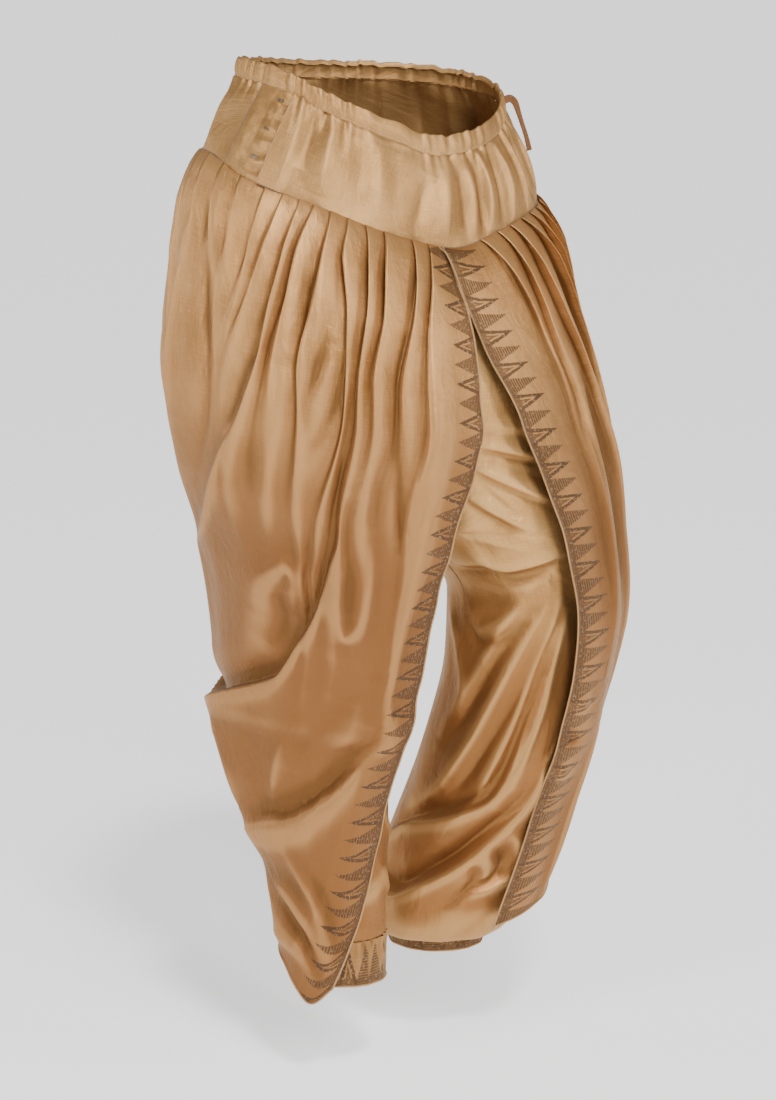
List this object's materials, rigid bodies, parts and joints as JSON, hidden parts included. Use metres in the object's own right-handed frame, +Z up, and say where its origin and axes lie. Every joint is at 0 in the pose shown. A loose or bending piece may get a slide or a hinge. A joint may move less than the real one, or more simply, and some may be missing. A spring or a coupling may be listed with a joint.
{
  "type": "dhoti pants",
  "caption": "Worn, hollow dhoti pants: gathered drawstring waist, pointed yoke with a hooked side opening, narrow legs and a pleated, open-fronted overlay on each leg.",
  "frame": {"origin": "middle of the waist opening, where the wearer holds the garment up", "axes": "+Z up, the garment faces -Y, +X towards the wearer's left"},
  "size_m": [0.4947, 0.3797, 0.9652],
  "materials": {
    "yoke_satin": "satin",
    "overlay_satin": "satin",
    "leg_satin": "satin",
    "temple_border": "satin",
    "hook_steel": "satin"
  },
  "bodies": {
    "root": {"waist_casing": "yoke_satin", "yoke_front": "yoke_satin", "yoke_back": "yoke_satin", "placket": "yoke_satin", "leg_right_front": "leg_satin", "leg_right_back": "leg_satin", "leg_left_front": "leg_satin", "leg_left_back": "leg_satin", "overlay_right_front": "overlay_satin", "overlay_right_back": "overlay_satin", "overlay_left_front": "overlay_satin", "overlay_left_back": "overlay_satin", "cuff_right": "temple_border", "cuff_left": "temple_border", "drawstring_tie": "temple_border", "hook_1": "hook_steel", "hook_2": "hook_steel", "hook_3": "hook_steel"}
  },
  "joints": []
}
